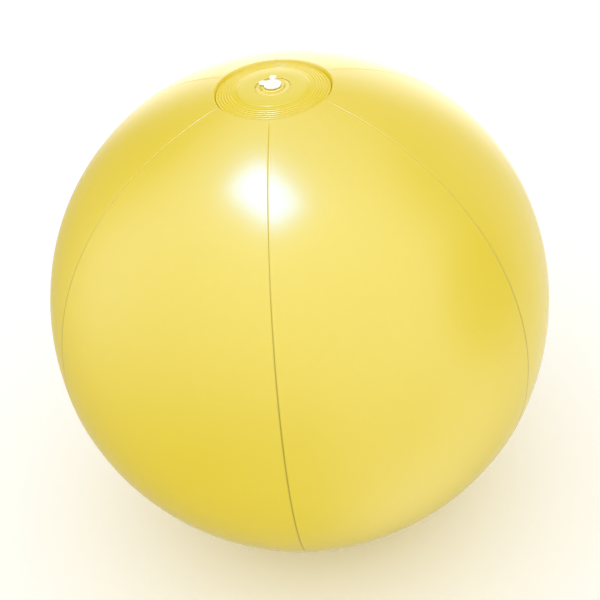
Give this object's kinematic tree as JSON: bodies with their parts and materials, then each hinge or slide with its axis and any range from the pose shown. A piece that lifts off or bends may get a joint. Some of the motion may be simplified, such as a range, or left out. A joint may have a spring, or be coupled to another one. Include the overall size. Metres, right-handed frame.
{
  "type": "inflatable beach ball",
  "caption": "Inflated ball of welded translucent film panels with an end disc at each pole and a push-in air valve with a tethered plug.",
  "frame": {"origin": "middle of the bottom end disc's outer face, on the surface the ball stands on", "axes": "+Z through the two end discs towards the valve; one seam faces -Y, and the plug's strap is on the +Y side"},
  "size_m": [0.28, 0.28, 0.2773],
  "materials": {
    "panel_film": "glossy translucent PVC film",
    "disc_film": "glossy translucent PVC film, embossed",
    "valve_body": "soft moulded translucent PVC",
    "plug_white": "soft moulded milky PVC"
  },
  "bodies": {
    "ball": {"gore_panel_1": "panel_film", "gore_panel_2": "panel_film", "gore_panel_3": "panel_film", "gore_panel_4": "panel_film", "gore_panel_5": "panel_film", "gore_panel_6": "panel_film", "top_end_disc": "disc_film", "bottom_end_disc": "disc_film", "valve_flange": "valve_body", "valve_diaphragm": "valve_body"},
    "stem": {"valve_stem": "valve_body"},
    "flap": {"check_flap": "valve_body"},
    "stopper": {"plug": "plug_white", "plug_strap": "plug_white"}
  },
  "joints": [
    {"name": "valve_slide", "type": "slide", "parent": "ball", "child": "stem", "axis": [0, 0, 1], "range_m": [0, 0.013], "deforming": ["valve_diaphragm"]},
    {"name": "plug_hinge", "type": "hinge", "parent": "stem", "child": "stopper", "pos_m": [0, 0.008, 0.2761], "axis": [-1, 0, 0], "range_deg": [0, 140]},
    {"name": "flap_hinge", "type": "hinge", "parent": "stem", "child": "flap", "pos_m": [0, 0.0052, 0.25885], "axis": [1, 0, 0], "range_deg": [0, 50], "stiffness_Nm_per_rad": 0.0001, "springref_deg": -2.86}
  ]
}
